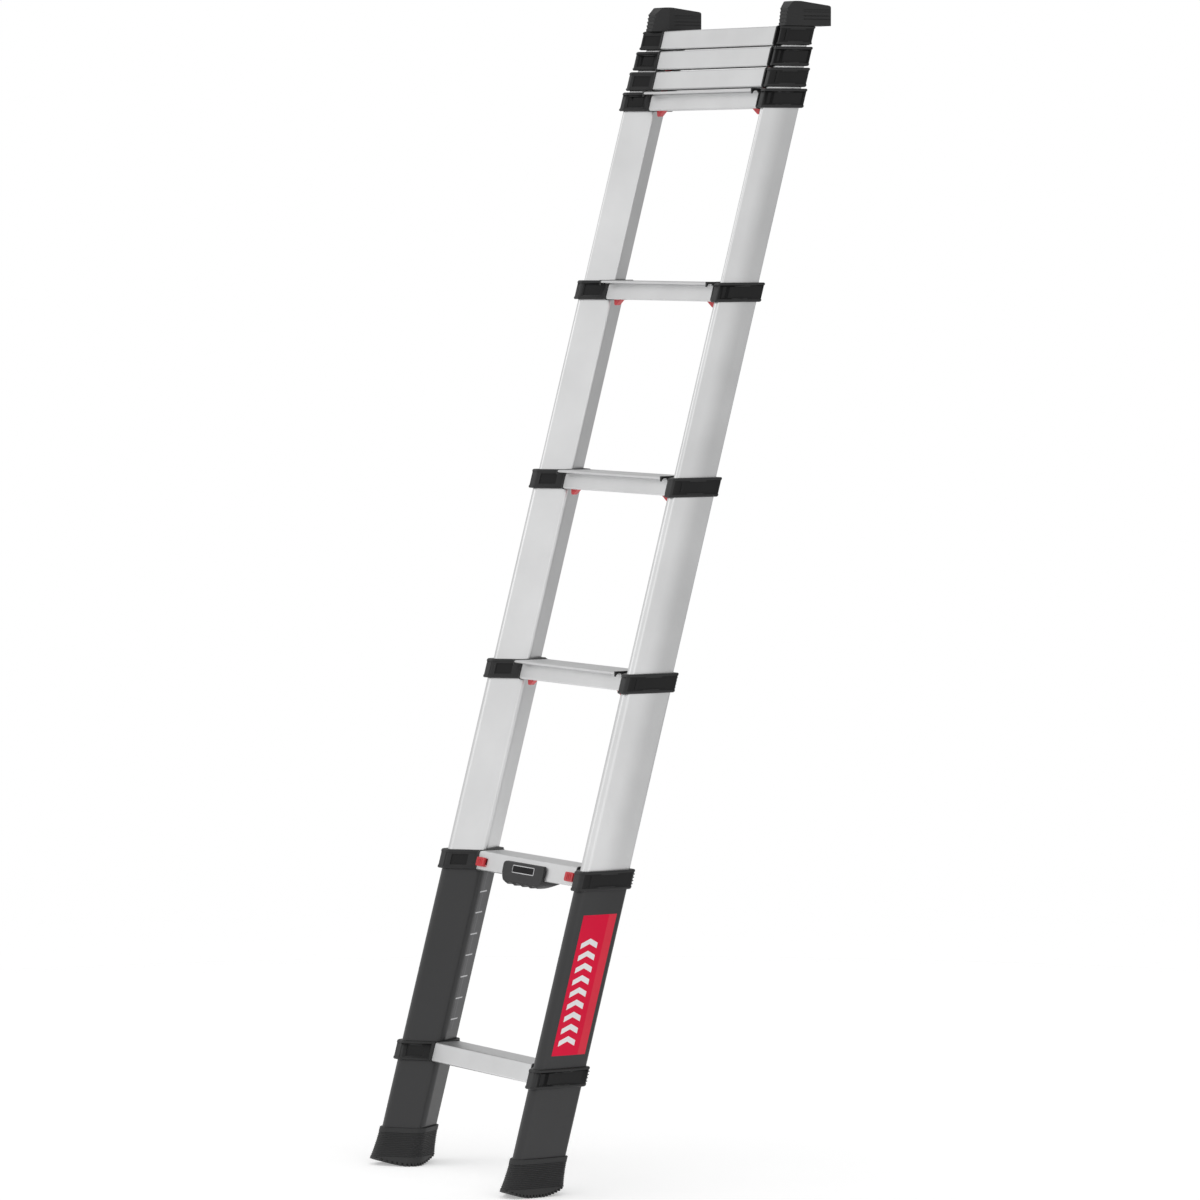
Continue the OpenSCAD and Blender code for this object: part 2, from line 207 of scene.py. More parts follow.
def straight_sides(corners, radii):
    """Sides of an outline: bearing of the outward normal, distance, and radius at the far end."""
    sides = []
    for i, (x0, y0) in enumerate(corners):
        x1, y1 = corners[(i + 1) % len(corners)]
        length = math.hypot(x1 - x0, y1 - y0)
        nx, ny = (y1 - y0) / length, (x0 - x1) / length
        sides.append((math.atan2(ny, nx), nx * x0 + ny * y0, radii[(i + 1) % len(corners)]))
    return sides


def meeting(a, b, shift):
    """Where two sides meet once both have moved in by shift."""
    (turn_a, far_a, _), (turn_b, far_b, _) = a, b
    far_a, far_b, sweep = far_a - shift, far_b - shift, math.sin(turn_b - turn_a)
    return Vector((
        (far_a * math.sin(turn_b) - far_b * math.sin(turn_a)) / sweep,
        (far_b * math.cos(turn_a) - far_a * math.cos(turn_b)) / sweep,
    ))


def outline(corners, radii, inset, fineness=math.radians(5)):
    """Points of a convex outline moved in by inset, with round corners, and each one's normal."""
    every = straight_sides(corners, radii)
    kept = []
    for i, side in enumerate(every):
        before, after = every[i - 1], every[(i + 1) % len(every)]
        facing = Vector((math.cos(side[0]), math.sin(side[0])))
        parallel = abs(math.sin(after[0] - before[0])) < nearly_parallel
        shift = inset + least_radius
        if parallel or meeting(before, after, shift).dot(facing) > side[1] - shift:
            kept.append(side)
    points = []
    for i, a in enumerate(kept):
        b = kept[(i + 1) % len(kept)]
        turn = (b[0] - a[0]) % (2 * math.pi)
        radius = max(a[2] - inset, least_radius)
        centre = meeting(a, b, inset + radius)
        steps = max(6, round(turn / fineness))
        for k in range(steps + 1):
            bearing = a[0] + turn * k / steps
            normal = Vector((math.cos(bearing), math.sin(bearing)))
            points.append((centre + normal * radius, normal))
    return points


def rail_point(side, u, v, height=None, length=None):
    """A point of the rail's section, at a level height or at a length along the rail."""
    if length is None:
        length = (height + v * math.sin(lean)) / math.cos(lean)
    mirror = -1 if side == "left" else 1
    return soles[side] + Vector((mirror * u, 0, 0)) + across * v + along * length


def solid(name, rings):
    """A closed solid through rings of equally many points, with its normals outwards."""
    shape = bmesh.new()
    layers = [[shape.verts.new(point) for point in ring] for ring in rings]
    count = len(layers[0])
    for low, high in zip(layers, layers[1:]):
        for i in range(count):
            j = (i + 1) % count
            shape.faces.new((low[i], low[j], high[j], high[i]))
    shape.faces.new(list(reversed(layers[0])))
    shape.faces.new(layers[-1])
    bmesh.ops.recalc_face_normals(shape, faces=shape.faces)
    mesh = bpy.data.meshes.new(name)
    shape.to_mesh(mesh)
    shape.free()
    made = bpy.data.objects.new(name, mesh)
    bpy.context.scene.collection.objects.link(made)
    return made


def settle(thing, sharp=30):
    """Turns a piece's modifiers into its mesh, and shades it smooth up to sharp edges."""
    ready = thing.evaluated_get(bpy.context.evaluated_depsgraph_get())
    mesh = bpy.data.meshes.new_from_object(ready)
    thing.modifiers.clear()
    thing.data = mesh
    mesh.polygons.foreach_set("use_smooth", [True] * len(mesh.polygons))
    mesh.set_sharp_from_angle(angle=math.radians(sharp))
    return thing


def cut(thing, cutters, operation="DIFFERENCE", sharp=30):
    """Cuts a piece with each cutter in turn, and deletes the cutters."""
    for cutter in cutters:
        step = thing.modifiers.new("cut", "BOOLEAN")
        step.operation = operation
        step.object = cutter
        step.solver = "EXACT"
    settle(thing, sharp)
    for cutter in cutters:
        bpy.data.objects.remove(cutter)
    return thing


def slanted(name, side, points, low, high, level=True):
    """A prism of a section along the rail, cut level at two heights or square at two lengths."""
    given = "height" if level else "length"
    return solid(name, [[rail_point(side, p.x, p.y, **{given: at}) for p, _ in points]
                        for at in (low, high)])


def rod(name, start, end, radius, sides=24):
    """A round rod between two points."""
    axis = (end - start).normalized()
    first = axis.orthogonal().normalized()
    second = axis.cross(first)
    circle = [first * math.cos(t) + second * math.sin(t)
              for t in (2 * math.pi * k / sides for k in range(sides))]
    return solid(name, [[at + spoke * radius for spoke in circle] for at in (start, end)])


def rung_top(number):
    """Height of the top of a rung, or of the tread plate on it."""
    name = f"tread_{number}"
    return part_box(name if name in nodes else f"rung_{number}")[1].z


def rail(side, n):
    """Rail of section n, bored where a lock bolt goes through its inboard corner."""
    inset = nest_step * (n - 1)
    top = rung_top(n + 1)
    start = sole_depth if n == 1 else top / math.cos(lean) - rung_pitch - overlap
    skin = outline(rail_corners, rail_radii, inset)
    bore = outline(rail_corners, rail_radii, inset + wall)
    end = top - collar_lip
    made = solid(f"{side}_rail_{n}", [
        [rail_point(side, p.x, p.y, length=start) for p, _ in skin],
        [rail_point(side, p.x, p.y, height=end) for p, _ in skin],
    ])
    cutters = [slanted("bore", side, bore, start - 0.02, end / math.cos(lean) + 0.05, level=False)]
    inboard = min(p.x for p, _ in skin)
    heights = [top - rung_height / 2] if n < section_count else []
    if n > 1:
        heights.append(top - rung_height / 2 - rung_pitch * math.cos(lean))
    for height in heights:
        middle = soles[side] + Vector((0, height * rise, height))
        inwards = 1 if side == "left" else -1
        inside, outside = bore_past_skin
        cutters.append(rod("hole", middle + Vector((inwards * (-inboard - inside), 0, 0)),
                           middle + Vector((inwards * (-inboard + outside), 0, 0)), bolt_bore))
    return cut(made, cutters, sharp=25)


def finish_piece(thing, material, body, replaced=()):
    """Gives a piece its material and even shading, hangs it on its body, and hides the CAD nodes that it stands
    for.
    """
    even = thing.modifiers.new("even_shading", "WEIGHTED_NORMAL")
    even.keep_sharp = True
    ready = thing.evaluated_get(bpy.context.evaluated_depsgraph_get())
    mesh = bpy.data.meshes.new_from_object(ready)
    mesh.name = thing.name
    thing.modifiers.clear()
    thing.data = mesh
    mesh.materials.clear()
    mesh.materials.append(material)
    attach(thing, body)
    if replaced:
        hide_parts(*replaced)
    return thing


drawn_lines = bpy.data.node_groups.new("drawn_lines", "ShaderNodeTree")
for socket, kind, value in (
    ("Turn", "NodeSocketVector", (0, 0, 0)),
    ("Across", "NodeSocketFloat", 1400.0),
    ("Along", "NodeSocketFloat", 3.0),
):
    taken = drawn_lines.interface.new_socket(socket, in_out="INPUT", socket_type=kind)
    taken.default_value = value
drawn_lines.interface.new_socket("Lines", in_out="OUTPUT", socket_type="NodeSocketFloat")
drawn_lines.interface.new_socket("Clouds", in_out="OUTPUT", socket_type="NodeSocketFloat")
entry = drawn_lines.nodes.new("NodeGroupInput")
leave = drawn_lines.nodes.new("NodeGroupOutput")
place = drawn_lines.nodes.new("ShaderNodeTexCoord")
turn = drawn_lines.nodes.new("ShaderNodeMapping")
stretch = drawn_lines.nodes.new("ShaderNodeVectorMath")
stretch.operation = "MULTIPLY"
scales = drawn_lines.nodes.new("ShaderNodeCombineXYZ")
lines = drawn_lines.nodes.new("ShaderNodeTexNoise")
lines.inputs["Scale"].default_value = 1.0
lines.inputs["Detail"].default_value = 2.0
clouds = drawn_lines.nodes.new("ShaderNodeTexNoise")
clouds.inputs["Scale"].default_value = 9.0
clouds.inputs["Detail"].default_value = 4.0
drawn_lines.links.new(place.outputs["Object"], turn.inputs["Vector"])
drawn_lines.links.new(entry.outputs["Turn"], turn.inputs["Rotation"])
drawn_lines.links.new(entry.outputs["Across"], scales.inputs["X"])
drawn_lines.links.new(entry.outputs["Across"], scales.inputs["Y"])
drawn_lines.links.new(entry.outputs["Along"], scales.inputs["Z"])
drawn_lines.links.new(turn.outputs["Vector"], stretch.inputs[0])
drawn_lines.links.new(scales.outputs["Vector"], stretch.inputs[1])
drawn_lines.links.new(stretch.outputs["Vector"], lines.inputs["Vector"])
drawn_lines.links.new(turn.outputs["Vector"], clouds.inputs["Vector"])
drawn_lines.links.new(lines.outputs["Fac"], leave.inputs["Lines"])
drawn_lines.links.new(clouds.outputs["Fac"], leave.inputs["Clouds"])


def anodised(name, colour, shine, turn_to, metal=1.0, line_bump=0.02, coat=0.0):
    """Satin anodised aluminium: drawing lines move the roughness and bump, clouds the tone."""
    made = bpy.data.materials.new(name)
    made.use_nodes = True
    tree = made.node_tree
    skin = tree.nodes["Principled BSDF"]
    skin.inputs["Metallic"].default_value = metal
    skin.inputs["Coat Weight"].default_value = coat
    skin.inputs["Coat Roughness"].default_value = 0.3
    grain = tree.nodes.new("ShaderNodeGroup")
    grain.node_tree = drawn_lines
    grain.inputs["Turn"].default_value = turn_to
    tone = tree.nodes.new("ShaderNodeValToRGB")
    tone.color_ramp.elements[0].color = (*[c * 0.94 for c in colour], 1)
    tone.color_ramp.elements[0].position = 0.3
    tone.color_ramp.elements[1].color = (*[min(c * 1.04, 1) for c in colour], 1)
    tone.color_ramp.elements[1].position = 0.7
    dull = tree.nodes.new("ShaderNodeMapRange")
    dull.inputs["To Min"].default_value = shine - 0.05
    dull.inputs["To Max"].default_value = shine + 0.07
    bump = tree.nodes.new("ShaderNodeBump")
    bump.inputs["Strength"].default_value = line_bump
    bump.inputs["Distance"].default_value = 0.0002
    tree.links.new(grain.outputs["Clouds"], tone.inputs["Fac"])
    tree.links.new(tone.outputs["Color"], skin.inputs["Base Color"])
    tree.links.new(grain.outputs["Lines"], dull.inputs["Value"])
    tree.links.new(dull.outputs["Result"], skin.inputs["Roughness"])
    tree.links.new(grain.outputs["Lines"], bump.inputs["Height"])
    tree.links.new(bump.outputs["Normal"], skin.inputs["Normal"])
    return made


along_rail = (lean, 0, 0)
rail_aluminium = anodised("rail_aluminium", (0.74, 0.742, 0.745), 0.33, along_rail)
for n in range(2, section_count + 1):
    for side_rail in [rail(side, n) for side in soles]:
        # The smallest sections have one CAD node for both of their rails.
        node = side_rail.name.replace("rail", "stile") if n <= last_single_rail else f"stiles_{n}"
        finish_piece(side_rail, rail_aluminium, f"section_{n}", [node])

# ---------------------------------------------------------------- outermost rails
# The same kind of extrusion, anodised black. The feet are pushed over its lower ends, and
# it carries the two lowest rungs.
black_anodised = anodised("black_anodised", (0.022, 0.022, 0.023), 0.36, along_rail,
                          metal=0.25, coat=0.25)
for side in soles:
    finish_piece(rail(side, 1), black_anodised, "root", [f"{side}_stile_1"])

# ---------------------------------------------------------------- stickers
# Printed vinyl on the outermost rails: a wide red one on the right rail's outboard side,
# and a narrow grey one down the rear inboard facet of the left rail. They carry plain
# chevrons and short lines, and nothing to read.
vinyl_thickness = 0.00018
vinyl_bite = 0.00003
red_across, red_heights = (-0.0244, 0.0308), (0.207, 0.413)
grey_across, grey_heights = (0.0095, 0.0275), (0.204, 0.443)


def sticker(name, side, outside, inside, low, high):
    """A thin closed sheet on a rail, between two heights, with its place across it as a UV."""
    section = [*outside, *reversed(inside)]
    made = solid(name, [[rail_point(side, p.x, p.y, height=at) for p in section]
                        for at in (low, high)])
    layer = made.data.uv_layers.new(name="across_and_up")
    count = len(outside)
    where = {}
    for i in range(2 * count):
        share = i if i < count else 2 * count - 1 - i
        for top in (0, 1):
            where[i + top * 2 * count] = (share / (count - 1), float(top))
    for loop in made.data.loops:
        layer.data[loop.index].uv = where[loop.vertex_index]
    return made


def vinyl(name, ground, bands, shine=0.3, chevrons=None):
    """Printed vinyl: bands of colour across or along the sticker, and chevrons up it."""
    made = bpy.data.materials.new(name)
    made.use_nodes = True
    tree = made.node_tree
    skin = tree.nodes["Principled BSDF"]
    skin.inputs["Specular IOR Level"].default_value = 0.22
    spread = tree.nodes.new("ShaderNodeUVMap")
    spread.uv_map = "across_and_up"
    parts = tree.nodes.new("ShaderNodeSeparateXYZ")
    tree.links.new(spread.outputs["UV"], parts.inputs[0])
    colour = None
    for axis, edges, tint in bands:
        ramp = tree.nodes.new("ShaderNodeValToRGB")
        ramp.color_ramp.interpolation = "CONSTANT"
        steps = ramp.color_ramp.elements
        while len(steps) < len(edges) + 1:
            steps.new(0.5)
        for i, step in enumerate(steps):
            step.position = 0 if i == 0 else edges[i - 1]
            step.color = (1, 1, 1, 1) if i % 2 else (0, 0, 0, 1)
        tree.links.new(parts.outputs[axis], ramp.inputs["Fac"])
        blend = tree.nodes.new("ShaderNodeMix")
        blend.data_type = "RGBA"
        tree.links.new(ramp.outputs["Color"], blend.inputs[0])
        if colour is None:
            blend.inputs[6].default_value = (*ground, 1)
        else:
            tree.links.new(colour, blend.inputs[6])
        blend.inputs[7].default_value = (*tint, 1)
        colour = blend.outputs[2]
    if chevrons:
        (left, right), (low, high), count, bend, ink, tint = chevrons

        def reckon(operation, a, b):
            step = tree.nodes.new("ShaderNodeMath")
            step.operation = operation
            for socket, value in zip(step.inputs, (a, b)):
                if isinstance(value, (int, float)):
                    socket.default_value = value
                else:
                    tree.links.new(value, socket)
            return step.outputs[0]

        u, v = parts.outputs["X"], parts.outputs["Y"]
        off_middle = reckon("ABSOLUTE", reckon("SUBTRACT", u, (left + right) / 2), 0)
        climb = reckon("ADD", reckon("SUBTRACT", v, low), reckon("MULTIPLY", off_middle, bend))
        share = reckon("FRACT", reckon("MULTIPLY", climb, count / (high - low)), 0)
        inked = reckon("LESS_THAN", share, ink)
        for test, value, edge in (("GREATER_THAN", u, left), ("LESS_THAN", u, right),
                                  ("GREATER_THAN", climb, 0.0), ("LESS_THAN", climb, high - low)):
            inked = reckon("MULTIPLY", inked, reckon(test, value, edge))
        print_on = tree.nodes.new("ShaderNodeMix")
        print_on.data_type = "RGBA"
        tree.links.new(inked, print_on.inputs[0])
        tree.links.new(colour, print_on.inputs[6])
        print_on.inputs[7].default_value = (*tint, 1)
        colour = print_on.outputs[2]
    fade = tree.nodes.new("ShaderNodeGroup")
    fade.node_tree = drawn_lines
    fade.inputs["Across"].default_value = 90.0
    fade.inputs["Along"].default_value = 90.0
    worn = tree.nodes.new("ShaderNodeMix")
    worn.data_type = "RGBA"
    worn.blend_type = "MULTIPLY"
    worn.inputs[0].default_value = 0.22
    dull = tree.nodes.new("ShaderNodeMapRange")
    dull.inputs["To Min"].default_value = shine - 0.06
    dull.inputs["To Max"].default_value = shine + 0.10
    tree.links.new(colour, worn.inputs[6])
    tree.links.new(fade.outputs["Clouds"], worn.inputs[7])
    tree.links.new(worn.outputs[2], skin.inputs["Base Color"])
    tree.links.new(fade.outputs["Lines"], dull.inputs["Value"])
    tree.links.new(dull.outputs["Result"], skin.inputs["Roughness"])
    return made


skin_outside = [p for p, _ in outline(rail_corners, rail_radii, -vinyl_thickness)]
skin_inside = [p for p, _ in outline(rail_corners, rail_radii, vinyl_bite)]


def pair_of_runs(test, low, high, count=25):
    """Matching runs of points outside and just under the skin, front to back on one face."""
    matched = []
    for points in (skin_outside, skin_inside):
        loop = points + points[:1]
        run = [p for a, b in zip(loop, loop[1:]) if test(a) and test(b) for p in (a, b)]
        run.sort(key=lambda p: p.y)
        even = []
        for k in range(count):
            at = low + (high - low) * k / (count - 1)
            for a, b in zip(run, run[1:]):
                if a.y <= at <= b.y and b.y > a.y:
                    even.append(a.lerp(b, (at - a.y) / (b.y - a.y)))
                    break
        matched.append(even)
    return matched


# Nine pale chevrons up the red ground, beside a stripe of a lighter red.
red_vinyl = vinyl("red_vinyl", (0.72, 0.0, 0.040), (
    ("X", (0.765, 1.0), (0.72, 0.030, 0.060)),
), chevrons=((0.12, 0.60), (0.10, 0.88), 9.0, 0.14, 0.45, (0.84, 0.83, 0.84)))
outboard = pair_of_runs(lambda p: p.x > 0.025 and abs(p.y) < 0.036, *red_across)
finish_piece(sticker("red_sticker", "right", *outboard, *red_heights), red_vinyl,
             "root")

# Seven short lines up the grey ground, crossing a thin stripe.
first_mark, mark_step, mark_height = 0.06, 0.135, 0.008
marks = [edge for k in range(7)
         for edge in (first_mark + k * mark_step, first_mark + mark_height + k * mark_step)]
grey_vinyl = vinyl("grey_vinyl", (0.085, 0.085, 0.088), (
    ("X", (0.44, 0.50), (0.16, 0.16, 0.165)),
    ("Y", marks, (0.62, 0.62, 0.63)),
))
rear_facet = pair_of_runs(lambda p: p.x < -0.003 and p.y > 0.002, *grey_across)
finish_piece(sticker("grey_sticker", "left", *rear_facet, *grey_heights), grey_vinyl,
             "root")

# ---------------------------------------------------------------- rungs and tread plates
# Hollow aluminium extrusions that run between the collars, drawn along the rung. Rungs 3
# to 6 carry a ribbed plate that overhangs the front in a lip.
along_rung = (0, math.radians(90), 0)
rung_aluminium = anodised("rung_aluminium", (0.77, 0.772, 0.775), 0.38, along_rung)
tread_aluminium = anodised("tread_aluminium", (0.72, 0.722, 0.725), 0.42, along_rung,
                           line_bump=0.05)


def merged(node, name):
    """A copy of a CAD node with its loose triangles joined up."""
    mesh = nodes[node].data.copy()
    mesh.name = name
    shape = bmesh.new()
    shape.from_mesh(mesh)
    bmesh.ops.remove_doubles(shape, verts=shape.verts, dist=0.00001)
    shape.to_mesh(mesh)
    shape.free()
    copy = bpy.data.objects.new(name, mesh)
    bpy.context.scene.collection.objects.link(copy)
    return copy


def eased(copy, width=0.0006, segments=2, sharp=35, bevel_angle=40):
    """Joins up a piece's flat faces and rounds its sharp edges."""
    shape = bmesh.new()
    shape.from_mesh(copy.data)
    bmesh.ops.dissolve_limit(shape, angle_limit=math.radians(0.5),
                             verts=shape.verts, edges=shape.edges)
    shape.to_mesh(copy.data)
    shape.free()
    round_off = copy.modifiers.new("bevel", "BEVEL")
    round_off.limit_method = "ANGLE"
    round_off.angle_limit = math.radians(bevel_angle)
    round_off.width = width
    round_off.segments = segments
    round_off.use_clamp_overlap = True
    return settle(copy, sharp)


def reworked(node, name, **ways):
    """A copy of a CAD node as clean faces with its sharp edges rounded."""
    return eased(merged(node, name), **ways)


def section_of(number):
    """The section that a rung and its collars belong to: the outermost one has two rungs."""
    return max(1, number - 1)


def body_of(number):
    """The body that a rung and its collars ride on."""
    return "root" if section_of(number) == 1 else f"section_{section_of(number)}"


rung_numbers = range(1, section_count + 2)
for number in rung_numbers:
    rung = reworked(f"rung_{number}", f"hollow_rung_{number}", width=0.0004, segments=1)
    finish_piece(rung, rung_aluminium, body_of(number), [f"rung_{number}"])
    node = f"tread_{number}"
    if node in nodes:
        tread = reworked(node, f"ribbed_tread_{number}", width=0.0003, segments=1)
        finish_piece(tread, tread_aluminium, body_of(number), [node])

# ---------------------------------------------------------------- collars
# Glass-filled nylon mouldings clamped round each rail top; they hold the rung ends and
# guide the next rail. The skin is a fine spark-eroded texture, rubbed shinier in places.
moulded_skin = bpy.data.node_groups.new("moulded_skin", "ShaderNodeTree")
for socket, value in (("Grain", 2600.0), ("Rub", 26.0)):
    taken = moulded_skin.interface.new_socket(socket, in_out="INPUT", socket_type="NodeSocketFloat")
    taken.default_value = value
for socket in ("Pits", "Rubbed"):
    moulded_skin.interface.new_socket(socket, in_out="OUTPUT", socket_type="NodeSocketFloat")
entry = moulded_skin.nodes.new("NodeGroupInput")
leave = moulded_skin.nodes.new("NodeGroupOutput")
place = moulded_skin.nodes.new("ShaderNodeTexCoord")
pits = moulded_skin.nodes.new("ShaderNodeTexNoise")
pits.inputs["Detail"].default_value = 3.0
rub = moulded_skin.nodes.new("ShaderNodeTexNoise")
rub.inputs["Detail"].default_value = 5.0
moulded_skin.links.new(place.outputs["Object"], pits.inputs["Vector"])
moulded_skin.links.new(place.outputs["Object"], rub.inputs["Vector"])
moulded_skin.links.new(entry.outputs["Grain"], pits.inputs["Scale"])
moulded_skin.links.new(entry.outputs["Rub"], rub.inputs["Scale"])
moulded_skin.links.new(pits.outputs["Fac"], leave.inputs["Pits"])
moulded_skin.links.new(rub.outputs["Fac"], leave.inputs["Rubbed"])


def moulded(name, colour, shine, grain_scale=2600.0, pit_depth=0.12, specular=0.4):
    """Moulded plastic or rubber: fine pits in the skin, and a tone and gloss that wander."""
    made = bpy.data.materials.new(name)
    made.use_nodes = True
    tree = made.node_tree
    skin = tree.nodes["Principled BSDF"]
    skin.inputs["Specular IOR Level"].default_value = specular
    texture = tree.nodes.new("ShaderNodeGroup")
    texture.node_tree = moulded_skin
    texture.inputs["Grain"].default_value = grain_scale
    tone = tree.nodes.new("ShaderNodeValToRGB")
    tone.color_ramp.elements[0].color = (*[c * 0.85 for c in colour], 1)
    tone.color_ramp.elements[0].position = 0.3
    tone.color_ramp.elements[1].color = (*[min(c * 1.2, 1) for c in colour], 1)
    tone.color_ramp.elements[1].position = 0.72
    dull = tree.nodes.new("ShaderNodeMapRange")
    dull.inputs["From Min"].default_value = 0.3
    dull.inputs["From Max"].default_value = 0.7
    dull.inputs["To Min"].default_value = shine - 0.06
    dull.inputs["To Max"].default_value = shine + 0.08
    bump = tree.nodes.new("ShaderNodeBump")
    bump.inputs["Strength"].default_value = pit_depth
    bump.inputs["Distance"].default_value = 0.0002
    tree.links.new(texture.outputs["Rubbed"], tone.inputs["Fac"])
    tree.links.new(tone.outputs["Color"], skin.inputs["Base Color"])
    tree.links.new(texture.outputs["Rubbed"], dull.inputs["Value"])
    tree.links.new(dull.outputs["Result"], skin.inputs["Roughness"])
    tree.links.new(texture.outputs["Pits"], bump.inputs["Height"])
    tree.links.new(bump.outputs["Normal"], skin.inputs["Normal"])
    return made


collar_nylon = moulded("collar_nylon", (0.017, 0.017, 0.0175), 0.40, specular=0.36)
# The recess floors' darker colour is painted shade; their lower gloss and higher roughness are the skin's own.
recess_nylon_painted_shade = moulded("recess_nylon_painted_shade", (0.008, 0.008, 0.0083), 0.44, specular=0.25)
collar_proud = 0.005
body_step = 0.0007
flange = 0.0035
rung_end = 0.150
rung_front = 0.015
moulding_radii = [0.006, 0.005, 0.220, 0.003, 0.005, 0.008]
inner_side = straight_sides(rail_corners, rail_radii)[5]
facing = Vector((math.cos(inner_side[0]), math.sin(inner_side[0])))
towards_nose = Vector((-facing.y, facing.x))
# How far a rim draws in at each distance from the collar's end.
edge_rounding = ((-0.002, 0.0035), (0.0, 0.0016), (0.0004, 0.0009), (0.0011, 0.0003),
                 (0.0021, -0.0004))
flange_lap, flange_spare = 0.001, 0.0001
room_reach, room_spare = 0.05, 0.01
bush_reach, bush_gap = 0.4, 0.03
recess_margin = 0.0065
recess_floor, recess_mouth = 0.0019, -0.006
recess_from, recess_to = 0.003, 0.029
panel_margin = 0.005
side_panel_depths = (0.001, 0.004)
front_panel_depths = (0.0008, 0.0025)


def softened(pair, number):
    """Rounds the rims of a pair of collars, and widens the recess on the inboard front."""
    shrunk = nest_step * (section_of(number) - 1)
    grip = shrunk - collar_proud
    low, high = rung_top(number) - rung_height, rung_top(number)
    face = rung_end + shrunk
    depth = inner_side[1] - grip
    keep, recesses = [], []
    for side, mirror in (("left", -1), ("right", 1)):
        levels = [(low + dz, grip + shrink) for dz, shrink in edge_rounding]
        levels += [(high - dz, grip + shrink) for dz, shrink in reversed(edge_rounding)]
        keep.append(solid("rims", [
            [rail_point(side, p.x, p.y, height=z)
             for p, _ in outline(rail_corners, moulding_radii, inset)] for z, inset in levels]))
        near, far = mirror * (face - flange_lap), mirror * (face + flange + flange_spare)
        block = ((-room_reach, low - room_spare), (room_reach, low - room_spare),
                 (room_reach, high + room_spare), (-room_reach, high + room_spare))
        keep.append(solid("flange_room", [
            [Vector((x, soles[side].y + z * rise + y, z)) for y, z in block] for x in (near, far)]))
        if number > 2:
            around = outline(rail_corners, rail_radii, -room_spare)
            keep.append(slanted("bush_room", side, around, low - bush_reach, low - bush_gap))
        corners = [facing * (depth - sunk) + towards_nose * y
                   for sunk, y in ((recess_floor, recess_from), (recess_mouth, recess_from),
                                   (recess_mouth, recess_to), (recess_floor, recess_to))]
        recesses.append(solid("recess", [
            [rail_point(side, p.x, p.y, height=z) for p in corners]
            for z in (low + recess_margin, high - recess_margin)]))
    room = keep[0]
    cut(room, keep[1:], operation="UNION")
    cut(pair, [room], operation="INTERSECT")
    return cut(pair, recesses)


for number in rung_numbers:
    node = f"collars_{number}"
    pair = eased(softened(merged(node, f"collar_pair_{number}"), number), width=0.0004)
    finish_piece(pair, collar_nylon, body_of(number), [node])
    # The floors of the recesses get a darker colour, which is painted shade, and a duller skin with less gloss.
    pair.data.materials.append(recess_nylon_painted_shade)
    skin_far = collar_proud - nest_step * (section_of(number) - 1) - body_step
    low, high = rung_top(number) - rung_height, rung_top(number)
    for face in pair.data.polygons:
        if not low + panel_margin < face.center.z < high - panel_margin:
            continue
        mirror = 1 if face.center.x > 0 else -1
        u = mirror * face.center.x - soles["right"].x
        v = (face.center.y - soles["right"].y - face.center.z * rise) * math.cos(lean)
        normal = Vector((mirror * face.normal.x, face.normal.y / math.cos(lean)))
        sunk_side = rail_width / 2 + skin_far - u
        sunk_front = inner_side[1] + skin_far - facing.dot(Vector((u, v)))
        near, far = side_panel_depths
        side_floor = normal.x > 0.9 and near < sunk_side < far
        near, far = front_panel_depths
        front_floor = normal.dot(facing) > 0.85 and near < sunk_front < far
        if side_floor or front_floor:
            face.material_index = 1

# ---------------------------------------------------------------- finger ribs on the collars
# Four little half-round bars moulded across the back of each collar, so that the sections
# can be gripped and pulled apart. They are part of the same nylon shot as the collar.
rib_tree = bpy.data.node_groups.new("finger_ribs", "GeometryNodeTree")
for socket, kind, value in (
    ("First", "NodeSocketVector", (0, 0, 0)),
    ("Step", "NodeSocketVector", (0, 0, 0.004)),
    ("Turn", "NodeSocketVector", (0, 0, 0)),
    ("Count", "NodeSocketInt", 4),
    ("Radius", "NodeSocketFloat", 0.0009),
    ("Length", "NodeSocketFloat", 0.012),
    ("Finish", "NodeSocketMaterial", None),
):
    taken = rib_tree.interface.new_socket(socket, in_out="INPUT", socket_type=kind)
    if value is not None:
        taken.default_value = value
rib_tree.interface.new_socket("Geometry", in_out="OUTPUT", socket_type="NodeSocketGeometry")
entry = rib_tree.nodes.new("NodeGroupInput")
leave = rib_tree.nodes.new("NodeGroupOutput")
row = rib_tree.nodes.new("GeometryNodeMeshLine")
bar = rib_tree.nodes.new("GeometryNodeMeshCylinder")
bar.inputs["Vertices"].default_value = 12
spread = rib_tree.nodes.new("GeometryNodeInstanceOnPoints")
whole = rib_tree.nodes.new("GeometryNodeRealizeInstances")
smooth = rib_tree.nodes.new("GeometryNodeSetShadeSmooth")
coat = rib_tree.nodes.new("GeometryNodeSetMaterial")
rib_tree.links.new(entry.outputs["Count"], row.inputs["Count"])
rib_tree.links.new(entry.outputs["First"], row.inputs["Start Location"])
rib_tree.links.new(entry.outputs["Step"], row.inputs["Offset"])
rib_tree.links.new(entry.outputs["Radius"], bar.inputs["Radius"])
rib_tree.links.new(entry.outputs["Length"], bar.inputs["Depth"])
rib_tree.links.new(row.outputs["Mesh"], spread.inputs["Points"])
rib_tree.links.new(bar.outputs["Mesh"], spread.inputs["Instance"])
rib_tree.links.new(entry.outputs["Turn"], spread.inputs["Rotation"])
rib_tree.links.new(spread.outputs["Instances"], whole.inputs["Geometry"])
rib_tree.links.new(whole.outputs["Geometry"], smooth.inputs["Geometry"])
rib_tree.links.new(smooth.outputs["Geometry"], coat.inputs["Geometry"])
rib_tree.links.new(entry.outputs["Finish"], coat.inputs["Material"])
rib_tree.links.new(coat.outputs["Geometry"], leave.inputs["Geometry"])
